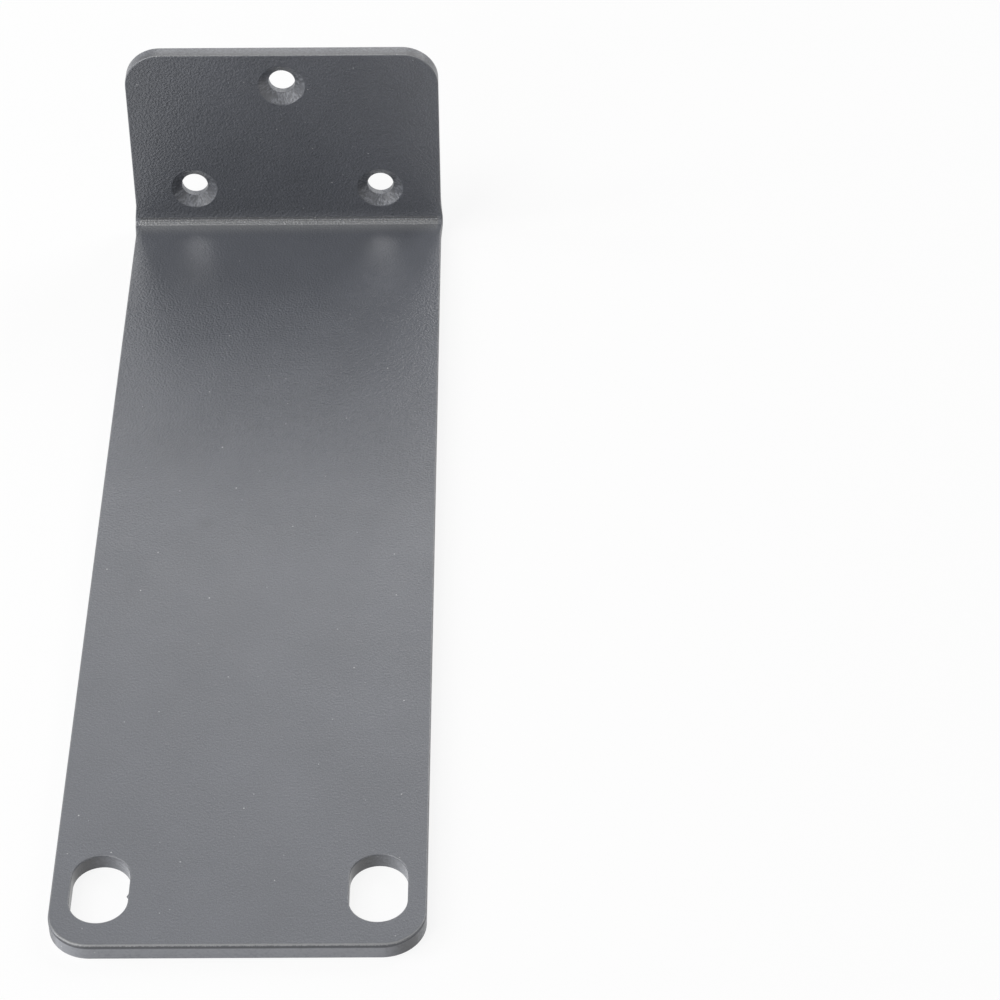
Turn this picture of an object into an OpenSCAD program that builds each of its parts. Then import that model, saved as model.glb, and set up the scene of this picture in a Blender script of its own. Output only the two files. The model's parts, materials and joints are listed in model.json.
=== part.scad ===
// Rack mount ear bracket: one folded sheet that carries a small device in a 19 inch rack.
// The panel flange lies flat, with its rack slots at the -Y end. The device flange stands at
// the +Y end. The origin is under the middle of the bracket, and X runs along the fold.

/* [Sheet] */
// Thickness of the sheet with its coat
sheet_t = 2; // [1.5:0.1:3]
// Width of the sheet, along the fold
width = 42.8; // [41:0.1:60]
// Inside radius of the fold
bend_r = 0.8; // [0.4:0.1:2]
// How far each end of the fold bulges past the cut side
bulge = 0.25; // [0.1:0.05:0.4]
// How far that bulge reaches along each flange
bulge_reach = 2.4; // [1.6:0.1:3]

/* [Panel flange] */
// Length from the slotted end to the back of the device flange
panel_length = 137; // [60:0.5:200]
// Corner radius at the slotted end
panel_corner_r = 5; // [1:0.5:8]

/* [Rack slots] */
// Distance between the two slot centres
slot_spacing = 31.75; // [26:0.05:32]
// Distance from the slotted end to the slot centres
slot_edge = 8.75; // [8:0.05:14]
// Width of a slot
slot_w = 6.7; // [5:0.1:8.2]
// Length of a slot, over its round ends
slot_length = 10.2; // [8:0.1:14]

/* [Cutting nib] */
// Height of the nib that the cutter left on the first slot's inner wall
nib_h = 0.25; // [0.1:0.05:0.4]
// Length of the nib's sloping side
nib_slope = 0.4; // [0.2:0.1:0.8]
// Distance from the middle of the slot to the nib's tip, towards the slotted end
nib_shift = 1.1; // [0:0.1:1.5]

/* [Device flange] */
// Height over the underside of the panel flange
flange_h = 30; // [22:0.5:60]
// Radius of the top corners
flange_corner_r = 5; // [1:0.5:8]

/* [Screw holes] */
// Diameter of a screw hole
screw_d = 3.6; // [2.5:0.1:4.5]
// Distance between the two lower holes
screw_spacing = 26; // [14:0.5:32]
// Height of the two lower holes over the underside
screw_low = 7.8; // [6.5:0.1:9]
// Distance from the upper hole to the top edge
screw_edge = 4.9; // [4:0.1:8]
// Mouth diameter of a countersink
sink_d = 6.4; // [5:0.1:7.5]
// Depth of a countersink
sink_depth = 1; // [0.5:0.1:1.3]

/* [Hidden] */
$fn = 96;
over = 1;                              // how far a cut runs past a face
back_y = panel_length / 2;             // outer face of the device flange
face_y = back_y - sheet_t;             // inner face of the device flange
front_y = -panel_length / 2;           // slotted end
slot_y = front_y + slot_edge;
fold_y = face_y - bend_r;              // axis of the fold, parallel to X
fold_z = sheet_t + bend_r;
crown_y = fold_y + bend_r * sin(45);   // middle of the fold's inside surface
crown_z = fold_z - bend_r * cos(45);
bulge_r = (pow(bulge_reach, 2) + pow(bulge, 2)) / (2 * bulge);

// A flat blank from y = 0 to y = length, with both corners rounded at y = length
module blank(length, corner_r) {
    translate([-width / 2, 0]) square([width, length - corner_r]);
    translate([-width / 2 + corner_r, 0]) square([width - 2 * corner_r, length]);
    for (side = [-1, 1])
        translate([side * (width / 2 - corner_r), length - corner_r]) circle(corner_r);
}

// The long flange, from the fold to the slotted end
module panel_flange() {
    translate([0, fold_y, 0]) mirror([0, 1, 0])
        linear_extrude(sheet_t) blank(fold_y - front_y, panel_corner_r);
}

// The short flange, from the fold to the top edge
module device_flange() {
    translate([0, back_y, fold_z]) rotate([90, 0, 0])
        linear_extrude(sheet_t) blank(flange_h - fold_z, flange_corner_r);
}

// A quarter turn of the sheet between the two flanges
module fold(length) {
    translate([0, fold_y, fold_z]) rotate([90, 0, 90])
        rotate_extrude(angle = 90, start = -90)
            translate([bend_r, -length / 2]) square([sheet_t, length]);
}

// The fold and a short run of each flange, wider than the blank by the two bulges
module wide_fold() {
    length = width + 2 * bulge;
    fold(length);
    translate([-length / 2, fold_y - bulge_reach, 0]) cube([length, bulge_reach, sheet_t]);
    translate([-length / 2, face_y, fold_z]) cube([length, sheet_t, bulge_reach]);
}

// The metal that bending squeezes out past both cut sides, highest on the fold's inside
module fold_bulges() {
    for (side = [-1, 1])
        intersection() {
            wide_fold();
            translate([side * (width / 2 + bulge - bulge_r), crown_y, crown_z]) sphere(bulge_r);
        }
}

// A round-ended slot along Y, through the panel flange
module rack_slot() {
    run = slot_length - slot_w;
    translate([-slot_w / 2, -run / 2, -over]) cube([slot_w, run, sheet_t + 2 * over]);
    for (end = [-1, 1])
        translate([0, end * run / 2, -over]) cylinder(d = slot_w, h = sheet_t + 2 * over);
}

// The sharp little tooth where the cut round the first slot began and ended
module cutting_nib() {
    translate([(slot_w - slot_spacing) / 2, slot_y - nib_shift, 0]) linear_extrude(sheet_t)
        polygon([[over, nib_slope], [0, nib_slope], [-nib_h, 0], [0, -nib_h / 4], [over, -nib_h / 4]]);
}

// A screw hole along Y through the device flange, countersunk from the inner face
module screw_hole() {
    spread = (sink_d - screw_d) * over / sink_depth;
    translate([0, face_y - over, 0]) rotate([-90, 0, 0]) {
        cylinder(d = screw_d, h = sheet_t + 2 * over);
        cylinder(d1 = sink_d + spread, d2 = screw_d, h = sink_depth + over);
    }
}

module ear_bracket() {
    color("dimgray") {
        difference() {
            union() {
                panel_flange();
                fold(width);
                device_flange();
                fold_bulges();
            }
            for (side = [-1, 1]) {
                translate([side * slot_spacing / 2, slot_y, 0]) rack_slot();
                translate([side * screw_spacing / 2, 0, screw_low]) screw_hole();
            }
            translate([0, 0, flange_h - screw_edge]) screw_hole();
        }
        cutting_nib();
    }
}

ear_bracket();
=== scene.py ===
import json
import math

import bpy
import numpy as np
from mathutils import Matrix, Vector
from mathutils.geometry import delaunay_2d_cdt


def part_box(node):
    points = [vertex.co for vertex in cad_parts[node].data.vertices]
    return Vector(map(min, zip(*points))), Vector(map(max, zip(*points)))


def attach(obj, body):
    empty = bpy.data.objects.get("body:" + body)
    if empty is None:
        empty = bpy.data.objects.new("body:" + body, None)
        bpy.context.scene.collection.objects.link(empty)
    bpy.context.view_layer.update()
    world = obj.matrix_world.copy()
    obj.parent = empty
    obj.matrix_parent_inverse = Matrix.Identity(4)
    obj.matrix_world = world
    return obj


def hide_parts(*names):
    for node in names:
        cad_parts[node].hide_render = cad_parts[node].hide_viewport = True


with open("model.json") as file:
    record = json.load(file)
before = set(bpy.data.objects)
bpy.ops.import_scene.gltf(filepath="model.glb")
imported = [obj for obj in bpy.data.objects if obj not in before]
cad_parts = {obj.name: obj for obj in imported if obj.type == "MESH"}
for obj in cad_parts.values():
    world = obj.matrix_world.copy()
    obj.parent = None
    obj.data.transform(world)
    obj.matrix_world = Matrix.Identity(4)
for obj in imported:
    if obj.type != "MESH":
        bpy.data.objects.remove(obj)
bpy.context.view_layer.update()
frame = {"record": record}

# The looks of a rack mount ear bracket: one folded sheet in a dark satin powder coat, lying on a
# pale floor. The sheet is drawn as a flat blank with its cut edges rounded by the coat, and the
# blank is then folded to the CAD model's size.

MM = 0.001

# --- Sizes of the sheet ---------------------------------------------------------------------

# Sizes that the frame doesn't state
BEND_R = 0.8 * MM            # inside radius of the fold
BULGE = 0.25 * MM            # how far each end of the fold stands past the cut side
BULGE_REACH = 2.4 * MM       # how far that bulge reaches along each flange
CORNER_R = 5 * MM            # all four outside corners
SINK_D = 6.4 * MM            # mouth of a countersink
NIB_H = 0.25 * MM            # the cutter's nib on the first slot's inner wall
NIB_SLOPE = 0.4 * MM
NIB_SHIFT = 1.1 * MM         # from the slot's middle to the nib's tip
NIB_DEPTH = 0.7 * MM         # how far down the wall the nib fades out
COAT_R = 0.16 * MM           # rounding of the coat over the inner face's cut edges
END_R = 0.42 * MM            # and at the slotted end, where it is softest
BACK_R = 0.08 * MM           # rounding over the outer face's cut edges
SOFT_R = 0.3 * MM            # rounding where the cone of a countersink meets the face

FAR = 5 * MM                 # how far into the metal the section of a cut edge starts
NEAR_ZERO = 0.001 * MM       # two places this near are the same

# How finely the mesh is divided
LATTICE = 2 * MM             # spacing of the points on the flat faces
BEND_ROWS = 14               # rows of points across the fold
CORNER_STEPS = 24            # points on a quarter of an outside corner
HOLE_STEPS = 72              # points round a screw hole
ROUND_STEPS = 5              # points over a rounded edge
WALL_STEPS = 4               # rows down a cut wall
STREAK = 0.7                 # how much of the height counts in the grain of a cut edge


def mount(name):
    """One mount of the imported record."""
    return next(m for m in frame["record"]["mounts"] if m["name"] == name)


def place(name):
    """Where a mount is, in metres."""
    return Vector(mount(name)["pos_m"])


def size(name, key):
    """A stated size of a mount, in metres."""
    return mount(name)["dims"][key] * MM


box_low, box_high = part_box("ear_bracket")
sheet_t = place("rail_face").z - box_low.z
half_width = box_high.x - BULGE
fold_y = box_high.y - sheet_t - BEND_R             # axis of the fold, parallel to X
fold_z = box_low.z + sheet_t + BEND_R
panel_run = fold_y - box_low.y                     # the blank's run to the fold
bend_run = (BEND_R + sheet_t / 2) * math.pi / 2    # and over it, along the middle of the sheet
blank_run = panel_run + bend_run + box_high.z - fold_z


# --- The flat blank ---------------------------------------------------------------------------
# A point of the blank has x, its run from the slotted end, and its height over the outer face.
# A loop goes round a cut with the metal on its left.


def arc(centre, radius, start, end, steps):
    """Points on an arc between two angles in degrees."""
    turn = np.radians(np.linspace(start, end, steps + 1))
    return np.array(centre) + radius * np.stack([np.cos(turn), np.sin(turn)], 1)


def lattice_lines():
    """The x of the blank's lattice columns, and the run of its rows."""
    columns = np.linspace(-half_width, half_width, round(2 * half_width / LATTICE) + 1)
    flange_start = panel_run + bend_run
    rows = [
        np.linspace(0, panel_run, round(panel_run / LATTICE) + 1),
        np.linspace(panel_run, flange_start, BEND_ROWS + 1)[1:],
        np.linspace(flange_start, blank_run, round((blank_run - flange_start) / LATTICE) + 1)[1:],
    ]
    return columns[1:-1], np.concatenate(rows)[1:-1]


def outline():
    """The sheet's outside edge, anticlockwise, with four round corners."""
    columns, rows = lattice_lines()
    right, low, high = half_width - CORNER_R, CORNER_R, blank_run - CORNER_R
    clear = LATTICE / 4
    side = rows[(rows > low + clear) & (rows < high - clear)]
    end = columns[abs(columns) < right - clear]
    return np.concatenate([
        arc((right, low), CORNER_R, -90, 0, CORNER_STEPS),
        np.stack([np.full(len(side), half_width), side], 1),
        arc((right, high), CORNER_R, 0, 90, CORNER_STEPS),
        np.stack([end[::-1], np.full(len(end), blank_run)], 1),
        arc((-right, high), CORNER_R, 90, 180, CORNER_STEPS),
        np.stack([np.full(len(side), -half_width), side[::-1]], 1),
        arc((-right, low), CORNER_R, 180, 270, CORNER_STEPS),
        np.stack([end, np.zeros(len(end))], 1),
    ])


def slot_loop(name):
    """A rack slot, clockwise: the end nearer the fold, the right wall, the other end, the left wall."""
    centre = place(name)
    x, run = centre.x, centre.y - box_low.y
    radius = size(name, "hole_r_mm")
    half = size(name, "slot_length_mm") / 2 - radius
    tip = run - NIB_SHIFT
    right = [tip + NIB_SLOPE, tip, tip - NIB_H / 4]
    steps = HOLE_STEPS // 2
    return np.concatenate([
        arc((x, run + half), radius, 180, 0, steps),
        [(x + radius, at) for at in right],
        arc((x, run - half), radius, 0, -180, steps),
    ])


def nib_lift(loop, name):
    """How far each point of a slot's loop stands into the slot: only the nib's tip does."""
    tip = place(name).y - box_low.y - NIB_SHIFT
    on_wall = abs(loop[:, 0] - place(name).x - size(name, "hole_r_mm")) < NEAR_ZERO
    return np.where(on_wall & (abs(loop[:, 1] - tip) < NEAR_ZERO), NIB_H, 0.0)


def hole_loop(name):
    """A screw hole's cylinder, clockwise, on the part of the blank that stands up."""
    centre = place(name)
    run = panel_run + bend_run + centre.z - fold_z
    return arc((centre.x, run), size(name, "r_mm"), 0, -360, HOLE_STEPS)[:-1]


def unit(vectors):
    return vectors / np.linalg.norm(vectors, axis=1, keepdims=True)


def into_metal(loop):
    """The direction into the metal at each point of a loop."""
    along = unit(np.roll(loop, -1, 0) - loop) + unit(loop - np.roll(loop, 1, 0))
    along = unit(along)
    return np.stack([-along[:, 1], along[:, 0]], 1)


def rounded(corners, radii):
    """A cut edge's section with its corners rounded: rows of depth into the metal, height over the
    outer face, the surface's direction there, and which wall it is: 0 on both faces, 1 on the first
    wall and 2 on the second. Corners run from the inner face to the outer."""
    corners = np.array(corners)
    rows = []
    for k, radius in enumerate(radii, 1):
        before, after = unit(np.diff(corners[k - 1:k + 2], axis=0))
        turn = math.acos(float(np.clip(before @ after, -1, 1)))
        bend = np.sign(before[0] * after[1] - before[1] * after[0])
        start = corners[k] - before * radius * math.tan(turn / 2)
        wall, next_wall = k - 1, k if k < len(radii) else 0
        for t in np.linspace(0, turn, ROUND_STEPS + 1):
            c, s = math.cos(t), math.sin(t) * bend
            way = np.array([before[0] * c - before[1] * s, before[0] * s + before[1] * c])
            facing = np.array([way[1], -way[0]])
            centre = start - bend * radius * np.array([before[1], -before[0]])
            here = wall + (next_wall - wall) * t / turn
            rows.append(np.concatenate([centre + bend * radius * facing, facing, [here]]))
    return fill_walls(np.array(rows))


def fill_walls(rows):
    """Adds rows along the straight stretches of a section, so that no ring is far from the next."""
    full = [rows[0]]
    for k, (before, after) in enumerate(zip(rows[:-1], rows[1:]), 1):
        steps = WALL_STEPS if k % (ROUND_STEPS + 1) == 0 else 1
        full += [before + (after - before) * step / steps for step in range(1, steps + 1)]
    return np.array(full)


def plain_edge(radius=COAT_R):
    """The section through a square cut, with its inner corner rounded by this much."""
    return rounded([(FAR, sheet_t), (0, sheet_t), (0, 0), (FAR, 0)], [radius, BACK_R])


def outside_edge(loop):
    """The section at each point of the outline: softest at the slotted end."""
    near = np.clip(1 - loop[:, 1] / CORNER_R, 0, 1)[:, None, None]
    return plain_edge(COAT_R) + near * (plain_edge(END_R) - plain_edge(COAT_R))


def sunk_edge(name):
    """The section through a countersunk hole's edge: a cone, then a straight land."""
    land = size(name, "length_mm")
    mouth = SINK_D / 2 - size(name, "r_mm")
    corners = [(FAR, sheet_t), (mouth, sheet_t), (0, land), (0, 0), (FAR, 0)]
    return rounded(corners, [SOFT_R, COAT_R, BACK_R])


OUTSIDE, SLOT, HOLE = 0.0, 1.0, 2.0      # the kinds of cut


class Blank:
    """The points of the flat blank, with the direction each faces, and the faces between them."""

    def __init__(self):
        self.points, self.facing, self.faces = [], [], []
        self.wall, self.cut, self.grain = [], [], []

    def add(self, points, facing, grain, wall, cut=OUTSIDE):
        """Adds points and returns their numbers."""
        first = len(self.points)
        self.points += [tuple(p) for p in points]
        self.facing += [tuple(f) for f in facing]
        self.grain += [tuple(g) for g in grain]
        self.wall += list(wall)
        self.cut += [cut] * len(points)
        return np.arange(first, len(self.points))

    def rim(self, loop, section, cut, lift=0.0):
        """Rings of points over a cut edge, and the quads between them. Returns the number of each
        point of the ring on the inner face, and of the ring on the outer face."""
        inward = into_metal(loop)
        lift = lift * np.ones(len(loop))
        sections = np.broadcast_to(section, (len(loop), *section.shape[-2:]))
        rings = []
        for depth, height, out, up, wall in sections.transpose(1, 2, 0):
            tooth = np.clip(1 - depth / COAT_R, 0, 1) * np.clip((height - sheet_t) / NIB_DEPTH + 1, 0, 1)
            flat = loop + inward * (depth - lift * tooth)[:, None]
            points = np.column_stack([flat, height])
            facing = np.column_stack([into_metal(flat) * out[:, None], up])
            grain = np.column_stack([loop, height * STREAK])
            rings.append(self.add(points, facing, grain, wall, cut))
        for near, below in zip(rings[:-1], rings[1:]):
            corners = [near, below, np.roll(below, -1), np.roll(near, -1)]
            self.faces += [tuple(int(v) for v in quad) for quad in np.stack(corners, 1)]
        return rings[0], rings[-1]

    def face(self, rings, height, up):
        """Triangles over a flat face, between the outline's ring and the holes' rings."""
        columns, rows = lattice_lines()
        lattice = np.stack(np.meshgrid(columns, rows), -1).reshape(-1, 2)
        edges = []
        flat = np.array(self.points)[:, :2]
        loops = [flat[ring] for ring in rings]
        lattice = lattice[room(lattice, loops) > LATTICE * 0.35]
        points = np.column_stack([lattice, np.full(len(lattice), height)])
        facing = np.tile([0.0, 0.0, up], (len(points), 1))
        inner = self.add(points, facing, points, np.zeros(len(points)))
        numbers = np.concatenate([*rings, inner])
        count = 0
        for ring in rings:
            n = len(ring)
            edges += [(count + k, count + (k + 1) % n) for k in range(n)]
            count += n
        where = np.concatenate([*loops, lattice]) / MM
        out = delaunay_2d_cdt([Vector(p) for p in where], edges, [], 0, 1e-6)
        triangles, came_from = out[2], out[3]
        source = [ids[0] for ids in came_from]
        found = np.array([[source[v] for v in tri] for tri in triangles])
        middle = where[found].mean(1) * MM
        for tri in found[room(middle, loops) > 0]:
            a, b, c = where[tri]
            turn = (b[0] - a[0]) * (c[1] - a[1]) - (b[1] - a[1]) * (c[0] - a[0])
            order = tri if turn * up > 0 else tri[::-1]
            self.faces.append(tuple(int(numbers[v]) for v in order))


def room(points, loops):
    """How far into the metal each point is from the nearest point of every loop, at the least."""
    least = np.full(len(points), np.inf)
    for loop in loops:
        inward = into_metal(loop)
        away = points[:, None, :] - loop[None, :, :]
        near = (away ** 2).sum(2).argmin(1)
        offset = away[np.arange(len(points)), near]
        least = np.minimum(least, (offset * inward[near]).sum(1))
    return least


def fold(points, facing):
    """Folds points of the blank, and turns the direction that each faces with them."""
    x, run, height = points.T
    turn = np.clip((run - panel_run) / bend_run, 0, 1) * math.pi / 2
    radius = BEND_R + sheet_t - height
    y = box_low.y + np.minimum(run, panel_run) + radius * np.sin(turn)
    z = fold_z - radius * np.cos(turn) + np.maximum(run - panel_run - bend_run, 0)
    side, ahead, up = facing.T
    turned = [side, ahead * np.cos(turn) - up * np.sin(turn), ahead * np.sin(turn) + up * np.cos(turn)]
    return np.stack([x, y, z], 1), np.stack(turned, 1)


def bulge_out(points, facing):
    """Pushes both ends of the fold out past the cut sides, most at the fold's inside surface."""
    ball_r = (BULGE_REACH ** 2 + BULGE ** 2) / (2 * BULGE)
    crown = np.array([fold_y, fold_z]) + BEND_R * np.array([1, -1]) / math.sqrt(2)
    away = points[:, 1:] - crown
    drop = np.sqrt(np.maximum(ball_r ** 2 - (away ** 2).sum(1), 0))
    rise = BULGE - ball_r + drop
    side = np.sign(points[:, 0]) * ((abs(points[:, 0]) > half_width - LATTICE / 2) & (rise > 0))
    points[:, 0] += side * rise
    slope = away / np.maximum(drop, ball_r / 10)[:, None]
    facing[:, 1:] += slope * (side * facing[:, 0])[:, None]
    return points, unit(facing)


def keep(mesh, name, kind, values):
    """Stores a value for each point, for the material to read."""
    field = "vector" if kind == "FLOAT_VECTOR" else "value"
    data = mesh.attributes.new(name, kind, "POINT").data
    data.foreach_set(field, np.array(values, np.float32).ravel())


def bracket_mesh():
    """The whole sheet as one closed mesh. Its points also hold the wall and the kind of cut that
    each is on, where it was on the flat blank's edge, how far round the fold it is, and how near
    the inner face."""
    blank = Blank()
    rims = [blank.rim(outline(), outside_edge(outline()), OUTSIDE)]
    slot_a, slot_b = slot_loop("rack_slot_a"), slot_loop("rack_slot_b")
    rims.append(blank.rim(slot_a, plain_edge(), SLOT, nib_lift(slot_a, "rack_slot_a")))
    rims.append(blank.rim(slot_b, plain_edge(), SLOT))
    for name in ("screw_hole_low_a", "screw_hole_low_b", "screw_hole_top"):
        rims.append(blank.rim(hole_loop(name), sunk_edge(name), HOLE))
    blank.face([inner for inner, _ in rims], sheet_t, 1.0)
    blank.face([outer for _, outer in rims], 0.0, -1.0)
    points, facing = fold(np.array(blank.points), unit(np.array(blank.facing)))
    points, facing = bulge_out(points, facing)
    mesh = bpy.data.meshes.new("ear_bracket_sheet")
    mesh.from_pydata([tuple(p) for p in points], [], blank.faces)
    mesh.polygons.foreach_set("use_smooth", [True] * len(mesh.polygons))
    flat = np.array(blank.points)
    keep(mesh, "wall", "FLOAT", blank.wall)
    keep(mesh, "cut", "FLOAT", blank.cut)
    keep(mesh, "grain", "FLOAT_VECTOR", blank.grain)
    keep(mesh, "turn", "FLOAT", (flat[:, 1] - panel_run) / bend_run)
    keep(mesh, "inner", "FLOAT", flat[:, 2] / sheet_t)
    mesh.normals_split_custom_set_from_vertices([tuple(f) for f in facing])
    mesh.validate()
    mesh.update()
    return mesh


# --- Materials --------------------------------------------------------------------------------

# Colours
COAT_DARK = (0.089, 0.095, 0.109)  # the coat's colour, from darkest to palest
COAT_PALE = (0.126, 0.133, 0.153)
SMUDGE_AND_SHADE = (0.036, 0.038, 0.045)       # smudges, and painted shade: the dark lines by the rims and in the fold, and the shaded parts of the cuts
WORN_AND_LIT = (0.27, 0.28, 0.31)          # the palest parts of a cut edge: worn blotches and tool streaks, with painted light on the slotted end's cut and on cut walls that face -X
BARE_AND_LIT = (0.22, 0.23, 0.26)          # the straight land of a screw hole: a paler bare-looking coat, with painted light that falls through the hole from behind
PAINTED_HIGHLIGHT = (0.34, 0.34, 0.33)         # painted highlights along the rims, on the ridges inside the fold and beside it
DUST = (0.75, 0.75, 0.75)          # the specks of dust that the coat holds

# Gloss
ROUGH = (0.35, 0.39)               # roughness of the coat, from place to place
SLOT_ROUGH = 0.28                  # and of a slot's wall
CREASE_SHADE_ROUGH = 0.15                # and of the lines of painted shade inside the fold, where the coat pooled

# Patterns
NOISE_WAVE = 1.5                   # a noise's wavelength, in steps of its lattice
CLOUD_WAVE = 18 * MM               # broad patches of the coat, from one to the next
CLOUD_SHARE = 0.3                  # how much they count beside the orange peel
PEEL_WAVE = 0.44 * MM              # orange peel, from crest to crest
PEEL_HIGH = 0.09 * MM              # height of a relief of 1
FINE_WAVE = 0.2 * MM               # the grain on the orange peel
FINE_SHARE = 0.2                   # its height beside the orange peel's
STREAK_WAVE = 0.28 * MM            # the streaks in a countersink
STREAK_SHARE = 0.45                # their height beside the orange peel's
PATCH_WAVE = 1.6 * MM              # the patches where the streaks are strong
BLOTCH_WAVE = 0.6 * MM             # the blotches on a cut edge
BLOTCH_SOFT = 0.4                  # how strong they are at the slotted end and in the slots
DUST_CELL = 2.1 * MM               # one speck's ball to a cell this wide
DUST_R = 0.12 * MM
SMUDGES = [(-7.5 * MM, 2.6 * MM, 1.8 * MM), (-2.4 * MM, 21.5 * MM, 1.8 * MM)]   # x, y and reach

# The inside of the fold: ridges of relief with painted highlights on them, and lines of painted shade.
# A line across it has its middle, half its width and its soft border, all as shares of the quarter turn.
UPPER_RIDGE = (0.63, 0.04, 0.05)
LOWER_RIDGE = (0.28, 0.05, 0.25)
UPPER_SHADE_LINE = (0.87, 0.07, 0.06)
LOWER_SHADE_LINE = (0.5, 0.03, 0.05)
WANDER_WAVE = 0.8 * MM             # how the lines waver along the fold
WANDER_SHARE = 0.1
RAGGED_WAVE = 0.3 * MM             # the raggedness of the ridges
SWELL_REACH = 1.8 * MM             # how far the coat swells out of the fold, and how high
SWELL_HIGH = 0.26 * MM

# The surroundings
FLOOR_PALE = 1.0                   # the floor's colour
SHADOW = 0.12                      # how much of what is seen of the floor can be in shadow
FILL = 0.0                         # the surround's own light


class Nodes:
    """The nodes of a material or of the world, with short ways to add and join them."""

    def __init__(self, owner):
        owner.use_nodes = True
        self.tree = owner.node_tree
        self.tree.nodes.clear()

    def add(self, kind, **inputs):
        """A node, with its inputs set to numbers or joined to other nodes' outputs."""
        node = self.tree.nodes.new("ShaderNode" + kind)
        for name, value in inputs.items():
            self.put(node.inputs[name.replace("_", " ")], value)
        return node

    def put(self, socket, value):
        if isinstance(value, bpy.types.NodeSocket):
            self.tree.links.new(value, socket)
        else:
            socket.default_value = value

    def sum(self, operation, first, second=0.0):
        """A sum on one or two values."""
        node = self.tree.nodes.new("ShaderNodeMath")
        node.operation = operation
        self.put(node.inputs[0], first)
        self.put(node.inputs[1], second)
        return node.outputs[0]

    def ramp(self, value, start, end, low=0.0, high=1.0):
        """A smooth step from low to high as the value goes from start to end."""
        node = self.add("MapRange", Value=value)
        node.interpolation_type = "SMOOTHSTEP"
        for name, number in (("From Min", start), ("From Max", end), ("To Min", low), ("To Max", high)):
            node.inputs[name].default_value = number
        return node.outputs["Result"]

    def noise(self, where, wavelength, detail=0.0):
        """Noise about 0.5 that repeats about every wavelength, in metres."""
        node = self.add("TexNoise", Vector=where, Scale=NOISE_WAVE / wavelength, Detail=detail)
        return node.outputs["Fac"]

    def stored(self, name, output="Fac"):
        """A value that the mesh's points hold."""
        node = self.add("Attribute")
        node.attribute_name = name
        return node.outputs[output]

    def tint(self, colour, share, other):
        """A colour mixed with another by a share."""
        node = self.tree.nodes.new("ShaderNodeMix")
        node.data_type = "RGBA"
        for key, value in (("Factor_Float", share), ("A_Color", colour), ("B_Color", other)):
            socket = next(i for i in node.inputs if i.identifier == key)
            self.put(socket, value)
        return next(o for o in node.outputs if o.identifier == "Result_Color")

    def bump(self, height, distance):
        """Relief of a height map: distance is how high 1 stands, in metres."""
        return self.add("Bump", Height=height, Distance=distance).outputs["Normal"]

    def coordinate(self, vector, axis):
        """One coordinate of a vector."""
        return self.add("SeparateXYZ", Vector=vector).outputs[axis]

    def facing(self, axis):
        """One coordinate of the direction that the surface faces, in the bracket's frame."""
        return self.coordinate(self.add("TexCoord").outputs["Normal"], axis)


def powder_coat():
    """Dark grey satin powder coat with orange peel, specks of dust and two faint smudges. It has painted
    highlights and painted shade along its rims and in the fold, is worn on its cuts with painted light
    and shade there too, and is rough along the inside of the fold."""
    material = bpy.data.materials.new("powder_coat_satin")
    m = Nodes(material)
    here = m.add("TexCoord").outputs["Object"]
    peel = m.noise(here, PEEL_WAVE, 1.0)
    fine = m.noise(here, FINE_WAVE, 1.0)
    on_wall = m.ramp(m.stored("wall"), 0.9, 1.0)
    streaks, worn_and_lit, mottled_and_shaded = cuts(m, here, on_wall)
    painted_rim_highlight, painted_rim_shade = rims(m, here, fine)
    ridges, painted_highlights, painted_crease_shade = fold_crease(m, here)
    cloud = m.sum("SUBTRACT", m.noise(here, CLOUD_WAVE, 2.0), 0.5)
    shade = m.sum("ADD", m.sum("MULTIPLY", cloud, CLOUD_SHARE), fine)
    colour = m.tint((*COAT_DARK, 1), m.ramp(shade, 0.35, 0.65), (*COAT_PALE, 1))
    # Pale cuts: wear and the tool's streaks, with painted light on the slotted end and on walls that
    # face -X.
    colour = m.tint(colour, worn_and_lit, (*WORN_AND_LIT, 1))
    # The holes' lands: a paler coat, with painted light from behind the hole.
    colour = m.tint(colour, m.ramp(m.stored("wall"), 1.2, 1.9), (*BARE_AND_LIT, 1))
    # Painted shade: the dark rim lines, the shade lines in the fold, and the cuts' shaded parts along
    # with their blotches.
    dark = m.sum("MAXIMUM", m.sum("MAXIMUM", painted_rim_shade, painted_crease_shade), mottled_and_shaded)
    colour = m.tint(colour, m.sum("MAXIMUM", dark, smudges(m, here)), (*SMUDGE_AND_SHADE, 1))
    # Painted highlights along the rims, on the fold's ridges and beside the fold.
    colour = m.tint(colour, m.sum("MAXIMUM", painted_rim_highlight, painted_highlights), (*PAINTED_HIGHLIGHT, 1))
    colour = m.tint(colour, dust(m, here), (*DUST, 1))
    strength = m.sum("MULTIPLY", peel_strength(m, here), m.ramp(on_wall, 0.0, 1.0, 1.0, 0.3))
    relief = m.sum("ADD", m.sum("SUBTRACT", peel, 0.5), m.sum("MULTIPLY", fine, FINE_SHARE))
    relief = m.sum("MULTIPLY", relief, strength)
    relief = m.sum("ADD", relief, m.sum("MULTIPLY", streaks, STREAK_SHARE))
    relief = m.sum("ADD", relief, ridges)
    shader = m.add("BsdfPrincipled", Base_Color=colour, Normal=m.bump(relief, PEEL_HIGH))
    rough = m.ramp(m.noise(here, CLOUD_WAVE / 3, 1.0), 0.3, 0.7, *ROUGH)
    slot = m.sum("MULTIPLY", on_wall, is_cut(m, SLOT))
    rough = m.sum("ADD", rough, m.sum("MULTIPLY", slot, SLOT_ROUGH - sum(ROUGH) / 2))
    rough = m.sum("ADD", rough, m.sum("MULTIPLY", painted_crease_shade, CREASE_SHADE_ROUGH - sum(ROUGH) / 2))
    m.put(shader.inputs["Roughness"], rough)
    shader.inputs["Specular IOR Level"].default_value = 1.0
    m.add("OutputMaterial", Surface=shader.outputs["BSDF"])
    return material


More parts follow.
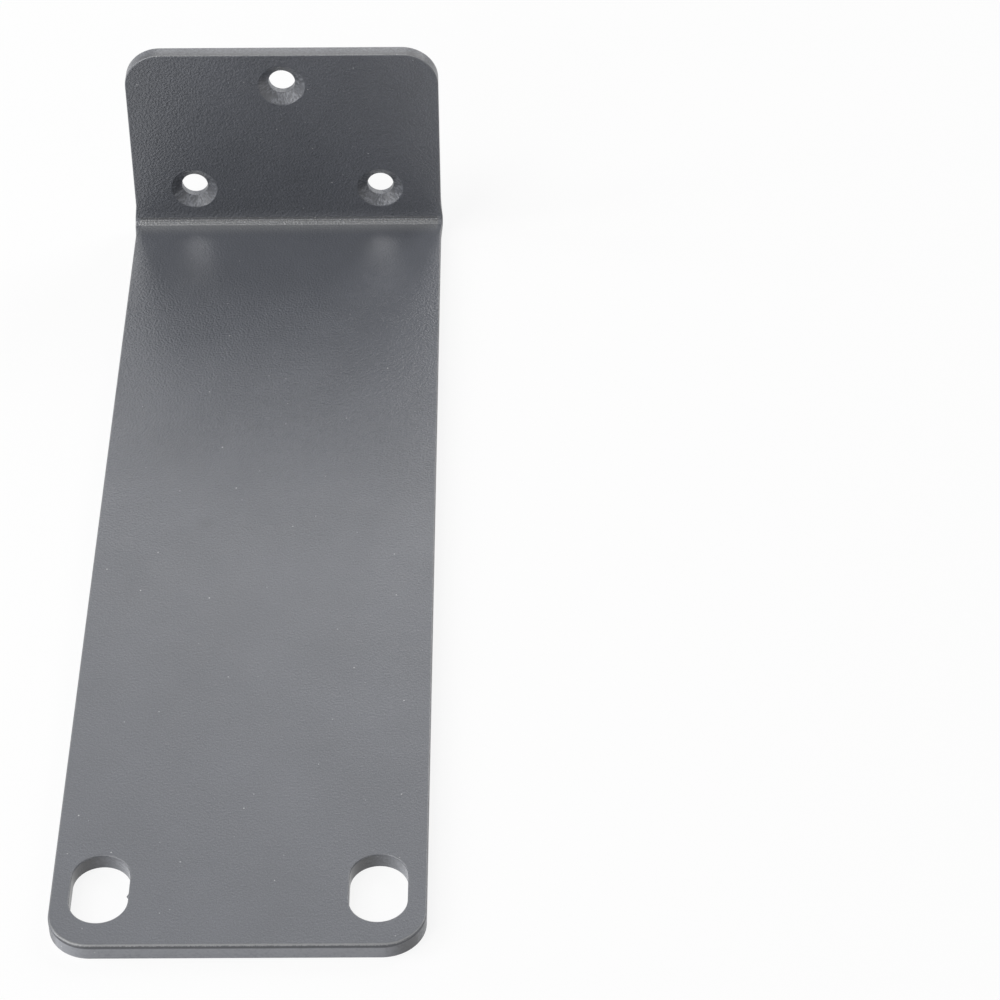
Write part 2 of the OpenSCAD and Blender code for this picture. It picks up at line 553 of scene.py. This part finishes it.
def is_cut(m, kind):
    """1 on one kind of cut and 0 on the others."""
    off = m.sum("ABSOLUTE", m.sum("SUBTRACT", m.stored("cut"), kind))
    return m.ramp(off, 0.1, 0.5, 1.0, 0.0)


def cuts(m, here, on_wall):
    """Streaks of the tool in the countersinks, how pale a cut is, and how dark: mottled on the
    outside edge; pale at the slotted end, a painted reflection of the bright floor; painted shade
    darker towards the inner face along the top; painted light where a slot's wall or the end
    looks towards -X, and painted shade where a slot's wall or an end corner looks towards +X;
    and painted shade in the countersink cones, between the streaks."""
    hole = is_cut(m, HOLE)
    streaks = m.ramp(m.noise(m.stored("grain", "Vector"), STREAK_WAVE, 2.0), 0.35, 0.7)
    streaks = m.sum("MULTIPLY", streaks, m.ramp(m.noise(here, PATCH_WAVE, 2.0), 0.35, 0.65, 0.2, 1.0))
    streaks = m.sum("MULTIPLY", streaks, m.sum("MULTIPLY", hole, on_wall))
    # Painted shade in the countersink cones; the tool's streaks break it up.
    cone = m.sum("MULTIPLY", hole, m.sum("MULTIPLY", on_wall, 0.45))
    end = slotted_end(m, here)
    smooth = m.sum("MAXIMUM", end, is_cut(m, SLOT))
    mottled = m.sum("SUBTRACT", m.noise(here, BLOTCH_WAVE, 2.0), 0.5)
    mottled = m.sum("ADD", m.sum("MULTIPLY", mottled, m.ramp(smooth, 0.0, 1.0, 1.0, BLOTCH_SOFT)), 0.5)
    plain = m.sum("MULTIPLY", on_wall, m.sum("SUBTRACT", 1.0, hole))
    sideways = m.facing("X")
    # Painted light and shade: the cut walls of the slots and the slotted end are paler where they face
    # -X and darker where they face +X.
    aside = m.sum("MULTIPLY", sideways, smooth)
    # Painted reflection: the slotted end's cut is pale, standing for the bright floor that it mirrors;
    # the mottled part is the cut's own blotches.
    pale = m.sum("ADD", m.ramp(mottled, 0.45, 0.7, 0.0, 0.3), end)
    pale = m.sum("ADD", pale, m.ramp(aside, -0.9, 0.2, 0.6, 0.0))
    pale = m.sum("MULTIPLY", plain, m.sum("MINIMUM", pale, 1.0))
    pale = m.sum("MAXIMUM", m.sum("MULTIPLY", streaks, 0.8), pale)
    # Painted shade: the outside edge's walls darken towards the inner face, less on the sides, and not
    # at the slotted end or in the slots.
    near = m.ramp(m.stored("inner"), 0.0, 1.0, 0.0, 0.7)
    near = m.sum("MULTIPLY", near, m.ramp(m.sum("ABSOLUTE", sideways), 0.3, 0.9, 1.0, 0.2))
    near = m.sum("MULTIPLY", near, m.sum("SUBTRACT", 1.0, smooth))
    dark = m.sum("ADD", m.ramp(mottled, 0.3, 0.55, 0.3, 0.0), near)
    dark = m.sum("ADD", dark, m.ramp(aside, -0.2, 0.7, 0.0, 0.9))
    dark = m.sum("MAXIMUM", m.sum("MULTIPLY", plain, dark), m.sum("SUBTRACT", cone, streaks))
    return streaks, pale, m.sum("MINIMUM", dark, 0.9)


def rims(m, here, fine):
    """Painted lines along a cut's inner rim: a painted highlight where it starts to turn along X, and
    below it a line of painted shade, standing for a dark reflection, at the slotted end and on the
    right-hand side."""
    wall = m.stored("wall")
    rim = m.sum("MULTIPLY", m.ramp(wall, 0.0, 0.1), m.ramp(wall, 0.9, 1.0, 1.0, 0.0))
    rim = m.sum("MULTIPLY", rim, m.ramp(m.stored("inner"), 0.3, 0.6))
    jagged = m.sum("MULTIPLY", m.sum("SUBTRACT", fine, 0.5), 0.4)
    to_face = m.sum("COSINE", m.sum("MULTIPLY", wall, math.pi / 2))
    # Painted highlight where the rounding faces up.
    palest = m.ramp(m.sum("ADD", m.facing("Z"), jagged), 0.7, 0.85)
    aside = m.sum("ABSOLUTE", m.facing("X"))
    pale = m.sum("MULTIPLY", palest, m.ramp(m.stored("cut"), OUTSIDE, SLOT, 0.5, 0.15))
    pale = m.sum("MULTIPLY", pale, m.ramp(aside, 0.15, 0.5, 1.0, 0.1))
    to_face = m.sum("ADD", to_face, jagged)
    # Painted shade: a dark line below the highlight, standing for a dark reflection.
    dark = m.sum("MULTIPLY", m.ramp(to_face, 0.2, 0.35), m.ramp(to_face, 0.65, 0.8, 0.85, 0.0))
    right = m.ramp(m.coordinate(here, "X"), half_width - MM, half_width - MM / 2)
    where = m.sum("MAXIMUM", slotted_end(m, here), right)
    return m.sum("MULTIPLY", pale, rim), m.sum("MULTIPLY", m.sum("MULTIPLY", dark, where), rim)


def slotted_end(m, here):
    """1 at the slotted end and 0 elsewhere."""
    return m.ramp(m.coordinate(here, "Y"), box_low.y + CORNER_R / 4, box_low.y + CORNER_R / 2, 1.0, 0.0)


def peel_strength(m, here):
    """The orange peel is strong on the device flange and the near part of the panel flange, weaker
    beside the fold, and soft towards the slots."""
    along = m.coordinate(here, "Y")
    panel = m.ramp(along, -0.2 * box_high.y, 0.45 * box_high.y, 0.32, 1.5)
    panel = m.sum("MULTIPLY", panel, m.ramp(along, 0.65 * box_high.y, 0.85 * box_high.y, 1.0, 0.38))
    return m.sum("MAXIMUM", panel, m.ramp(m.stored("turn"), 0.0, 1.0, 0.0, 1.05))


def smudges(m, here):
    """Two faint dark smudges on the panel flange."""
    total = 0.0
    for x, y, reach in SMUDGES:
        away = m.add("VectorMath")
        away.operation = "DISTANCE"
        m.put(away.inputs[0], here)
        away.inputs[1].default_value = (x, y, box_low.z + sheet_t)
        total = m.sum("ADD", total, m.ramp(away.outputs["Value"], 0.0, reach, 0.15, 0.0))
    return total


def dust(m, here):
    """Sparse specks, pale to faint: small balls scattered in space, where they meet the coat."""
    cells = m.add("TexVoronoi", Vector=here, Scale=1 / DUST_CELL)
    pale = m.add("SeparateColor", Color=cells.outputs["Color"]).outputs["Red"]
    speck = m.ramp(cells.outputs["Distance"], 0.6 * DUST_R / DUST_CELL, DUST_R / DUST_CELL, 1.0, 0.0)
    return m.sum("MULTIPLY", speck, m.ramp(pale, 0.0, 1.0, 0.05, 0.6))


def fold_crease(m, here):
    """Inside the fold: the coat swells into it from both flanges, with two rough ridges, painted
    highlights on them and a line of painted shade by each, and a painted sheen beside it on the panel
    flange. Ridges and shade lines stop short of both sides."""
    across = m.sum("ABSOLUTE", m.coordinate(here, "X"))
    inner = m.stored("inner")
    part = m.ramp(across, half_width - 0.6 * MM, half_width - 0.2 * MM, 1.0, 0.0)
    part = m.sum("MULTIPLY", part, m.ramp(inner, 0.8, 1.0))
    wander = m.sum("MULTIPLY", m.sum("SUBTRACT", m.noise(here, WANDER_WAVE, 2.0), 0.5), WANDER_SHARE)
    turn = m.sum("ADD", m.stored("turn"), wander)
    rough = m.noise(here, RAGGED_WAVE, 2.0)

    def line(middle, half, soft):
        off = m.sum("ABSOLUTE", m.sum("SUBTRACT", turn, middle))
        return m.sum("MULTIPLY", part, m.ramp(off, half, half + soft, 1.0, 0.0))

    upper = m.sum("MULTIPLY", line(*UPPER_RIDGE), m.ramp(rough, 0.4, 0.6, 0.15, 0.9))
    lower = m.sum("MULTIPLY", line(*LOWER_RIDGE), m.ramp(rough, 0.42, 0.62, 0.0, 0.6))
    ridges = m.sum("MULTIPLY", m.sum("ADD", upper, lower), 0.6)
    # Painted shade: dark lines in the crease, one by each ridge.
    painted_crease_shade = m.sum("MAXIMUM", line(*UPPER_SHADE_LINE), m.sum("MULTIPLY", line(*LOWER_SHADE_LINE), 0.5))
    off = m.sum("ABSOLUTE", m.sum("SUBTRACT", m.stored("turn"), 0.5))
    swell = m.sum("POWER", m.ramp(off, 0.2, 0.5 + SWELL_REACH / bend_run, 1.0, 0.0), 2.0)
    swell = m.sum("MULTIPLY", m.sum("MULTIPLY", swell, inner), SWELL_HIGH / PEEL_HIGH)
    # Painted light: a paler band on the inner face beside the fold, on the panel flange and into the
    # fold.
    painted_sheen = m.sum("MULTIPLY", part, m.ramp(m.stored("turn"), -0.9, 0.15, 0.0, 0.33))
    painted_sheen = m.sum("MULTIPLY", painted_sheen, m.ramp(m.stored("turn"), 0.4, 0.7, 1.0, 0.0))
    painted_sheen = m.sum("MULTIPLY", painted_sheen, m.ramp(rough, 0.35, 0.65, 0.7, 1.3))
    # Painted highlights on the ridges, and the painted sheen beside the fold.
    painted_highlights = m.sum("MAXIMUM", m.sum("MAXIMUM", upper, lower), painted_sheen)
    return m.sum("ADD", ridges, swell), painted_highlights, m.sum("MULTIPLY", painted_crease_shade, 0.9)


def seen_directly(m):
    """1 where the camera, a reflection or a clear surface looks at this, and 0 for scattered light."""
    path = m.add("LightPath").outputs
    glossy = m.sum("MAXIMUM", path["Is Glossy Ray"], path["Is Transmission Ray"])
    return m.sum("MAXIMUM", path["Is Camera Ray"], glossy)


def floor_material():
    """Pale matt floor. What the camera and the gloss see of it is mostly plain white, and the rest
    holds the bracket's shadow."""
    material = bpy.data.materials.new("pale_floor")
    m = Nodes(material)
    matt = m.add("BsdfDiffuse", Color=(FLOOR_PALE, FLOOR_PALE, FLOOR_PALE, 1))
    white = m.add("Emission", Strength=1.0)
    mix = m.add("MixShader", Fac=m.sum("MULTIPLY", seen_directly(m), 1 - SHADOW))
    m.put(mix.inputs[1], matt.outputs[0])
    m.put(mix.inputs[2], white.outputs[0])
    m.add("OutputMaterial", Surface=mix.outputs[0])
    return material


# --- The scene --------------------------------------------------------------------------------

FLOOR_REACH = 2.0                        # from the middle to each side, in metres
FLOOR_GAP = 0.02 * MM                    # how far the floor is under the bracket
CAMERA_AT = (31.64, -327.97, 296.69)     # in millimetres, in the CAD frame
CAMERA_TURN = 0.333                      # degrees round the vertical
CAMERA_DOWN = 41.351                     # degrees down from the horizontal
CAMERA_ROLL = -0.512                     # degrees round the line of sight
CAMERA_LENS = 125.39                     # focal length in millimetres
SENSOR = 36                              # width of the sensor in millimetres
LAMP_SIZE = 0.5                          # the side of each square lamp, in metres
LAMP_AWAY = 1.0                          # and its distance from the bracket's middle
LAMPS = [                                # name, watts, angle round the bracket, and over it
    ("lamp_left", 5.0, 270, 30),
    ("lamp_left_top", 4.0, 240, 60),
    ("lamp_front_left", 1.3, 225, 30),
    ("lamp_front_left_low", 0.8, 225, 12),
    ("lamp_back", 1.4, 0, 30),
    ("lamp_back_left", 0.4, 315, 30),
    ("lamp_back_right", 3.1, 45, 30),
    ("lamp_right", 0.5, 135, 30),
]


def link(name, data):
    """A new object in the scene."""
    made = bpy.data.objects.new(name, data)
    bpy.context.scene.collection.objects.link(made)
    return made


def make_bracket():
    """The bracket's visible mesh, which stands for the CAD node."""
    bracket = link("bracket", bracket_mesh())
    bracket.data.materials.append(powder_coat())
    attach(bracket, "root")
    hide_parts("ear_bracket")


def make_floor():
    """A wide plain floor just under the bracket."""
    z = box_low.z - FLOOR_GAP
    mesh = bpy.data.meshes.new("floor")
    corners = [(x * FLOOR_REACH, y * FLOOR_REACH, z) for x, y in ((-1, -1), (1, -1), (1, 1), (-1, 1))]
    mesh.from_pydata(corners, [], [(0, 1, 2, 3)])
    floor = link("floor", mesh)
    mesh.materials.append(floor_material())


def make_world():
    """An even surround: white to the eye and in reflections, and almost no light of its own."""
    world = bpy.data.worlds.new("surround")
    bpy.context.scene.world = world
    m = Nodes(world)
    strength = m.ramp(seen_directly(m), 0.0, 1.0, FILL, 1.0)
    light = m.add("Background", Strength=strength)
    m.add("OutputWorld", Surface=light.outputs[0])


def make_lamp(name, watts, azimuth, elevation):
    """A soft square lamp that looks at the bracket from an angle round it and over it, in degrees."""
    lamp = bpy.data.lights.new(name, "AREA")
    lamp.shape = "RECTANGLE"
    lamp.size, lamp.size_y = LAMP_SIZE, LAMP_SIZE
    lamp.energy = watts
    item = link(name, lamp)
    turn, rise = math.radians(azimuth), math.radians(elevation)
    away = Vector((math.sin(turn) * math.cos(rise), math.cos(turn) * math.cos(rise), math.sin(rise)))
    middle = (box_low + box_high) / 2
    item.location = middle + away * LAMP_AWAY
    item.rotation_euler = away.to_track_quat("Z", "Y").to_euler()
    item.visible_camera = False


def make_camera():
    """The camera, in the CAD frame: where it stands, and how it is turned."""
    data = bpy.data.cameras.new("camera")
    data.sensor_width = SENSOR
    data.lens = CAMERA_LENS
    data.clip_start = 0.01
    camera = link("camera", data)
    turn = Matrix.Rotation(math.radians(CAMERA_TURN), 4, "Z")
    tilt = Matrix.Rotation(math.radians(90 - CAMERA_DOWN), 4, "X")
    roll = Matrix.Rotation(math.radians(CAMERA_ROLL), 4, "Z")
    camera.matrix_world = Matrix.Translation(Vector(CAMERA_AT) * MM) @ turn @ tilt @ roll
    bpy.context.scene.camera = camera


bpy.context.scene.view_settings.view_transform = "Standard"
make_camera()
make_bracket()
make_floor()
make_world()
for lamp in LAMPS:
    make_lamp(*lamp)
